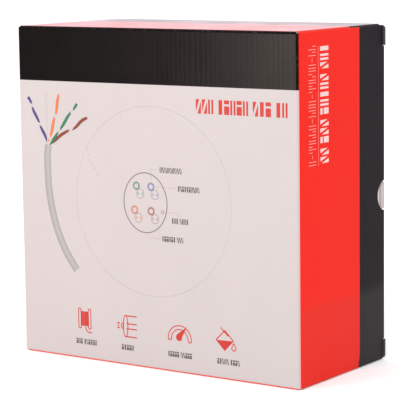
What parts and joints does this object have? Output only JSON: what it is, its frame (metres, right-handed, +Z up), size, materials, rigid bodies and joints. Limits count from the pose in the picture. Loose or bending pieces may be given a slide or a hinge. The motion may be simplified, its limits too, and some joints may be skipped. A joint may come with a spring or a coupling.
{
  "type": "cable spool box",
  "caption": "Square corrugated carton with a hinged rear lid and a round front knock-out, holding a spool of network cable that turns on an axle inside.",
  "frame": {"origin": "middle of the carton's bottom face, on the surface it stands on", "axes": "+Z up, -Y out of the printed front panel, +X towards the side wall with the thumb notch"},
  "size_m": [0.211, 0.099, 0.21],
  "materials": {
    "front_panel": "satin",
    "top_wall": "gloss",
    "bottom_wall": "gloss",
    "left_wall": "gloss",
    "right_wall": "gloss",
    "corner_flap_top_left": "matte",
    "corner_flap_top_right": "matte",
    "corner_flap_bottom_left": "matte",
    "corner_flap_bottom_right": "matte",
    "front_bridge": "matte",
    "rear_bridge": "matte",
    "axle_seat_front": "satin",
    "axle_seat_rear": "satin",
    "axle_tube": "matte",
    "knockout_disc": "satin",
    "flange_front": "satin",
    "flange_rear": "satin",
    "core_tube": "matte",
    "cable_winding": "satin",
    "end_tape": "gloss",
    "lid_panel": "gloss",
    "wing_top": "matte",
    "wing_bottom": "matte",
    "tuck_flap": "matte"
  },
  "bodies": {
    "tray": {"front_panel": "front_panel", "top_wall": "top_wall", "bottom_wall": "bottom_wall", "left_wall": "left_wall", "right_wall": "right_wall", "corner_flap_top_left": "corner_flap_top_left", "corner_flap_top_right": "corner_flap_top_right", "corner_flap_bottom_left": "corner_flap_bottom_left", "corner_flap_bottom_right": "corner_flap_bottom_right", "front_bridge": "front_bridge", "rear_bridge": "rear_bridge", "axle_seat_front": "axle_seat_front", "axle_seat_rear": "axle_seat_rear", "axle_tube": "axle_tube"},
    "knockout": {"knockout_disc": "knockout_disc"},
    "spool": {"flange_front": "flange_front", "flange_rear": "flange_rear", "core_tube": "core_tube", "cable_winding": "cable_winding", "end_tape": "end_tape"},
    "lid": {"lid_panel": "lid_panel", "wing_top": "wing_top", "wing_bottom": "wing_bottom"},
    "tuck_flap": {"tuck_flap": "tuck_flap"}
  },
  "joints": [
    {"name": "lid_hinge", "type": "hinge", "parent": "tray", "child": "lid", "pos_m": [-0.105, 0.0495, 0.105], "axis": [0, 0, 1], "range_deg": [0, 180]},
    {"name": "tuck_flap_fold", "type": "hinge", "parent": "lid", "child": "tuck_flap", "pos_m": [0.1031, 0.0495, 0.105], "axis": [0, 0, 1], "range_deg": [0, 45]},
    {"name": "spool_spin", "type": "hinge", "parent": "tray", "child": "spool", "pos_m": [0, 0, 0.105], "axis": [0, 1, 0], "continuous": true},
    {"name": "knockout_pull", "type": "slide", "parent": "tray", "child": "knockout", "axis": [0, -1, 0], "range_m": [0, 0.05]}
  ],
  "couplings": [
    {"joint": "tuck_flap_fold", "follows": "lid_hinge", "ratio": 0.25}
  ]
}
